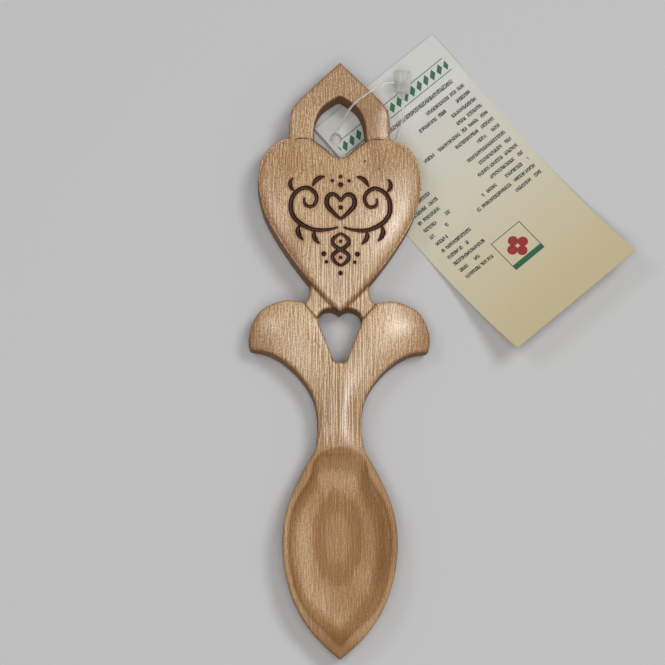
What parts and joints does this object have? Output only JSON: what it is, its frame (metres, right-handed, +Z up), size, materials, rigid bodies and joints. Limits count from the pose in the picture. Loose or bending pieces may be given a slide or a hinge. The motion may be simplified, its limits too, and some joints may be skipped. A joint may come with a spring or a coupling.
{
  "type": "welsh love spoon",
  "caption": "Carved wooden love spoon with a pierced loop, a heart and winged stem above the bowl, carrying a printed leaflet on a clear loop tag.",
  "frame": {"origin": "middle of the small flat under the bowl, on the surface that the spoon lies on", "axes": "+Y from the bowl to the hanging loop, +Z up out of the carved front, +X to the right of the front"},
  "size_m": [0.1288, 0.2166, 0.015],
  "materials": {
    "spoon_wood": "waxed, satin",
    "leaflet_paper": "smooth printed card",
    "clear_plastic": "clear, glossy"
  },
  "bodies": {
    "spoon": {"carved_spoon": "spoon_wood"},
    "tag": {"tag_filament": "clear_plastic", "lock_head": "clear_plastic", "plug_tip": "clear_plastic"},
    "leaflet": {"leaflet": "leaflet_paper"}
  },
  "joints": [
    {"name": "tag_swing", "type": "hinge", "parent": "spoon", "child": "tag", "pos_m": [-0.0018, 0.1411, 0.0012], "axis": [0, 0, 1], "range_deg": [-7, 7]},
    {"name": "leaflet_swing", "type": "hinge", "parent": "tag", "child": "leaflet", "pos_m": [-0.0018, 0.1411, 0.0012], "axis": [0, 0, 1], "range_deg": [-6, 20]}
  ]
}
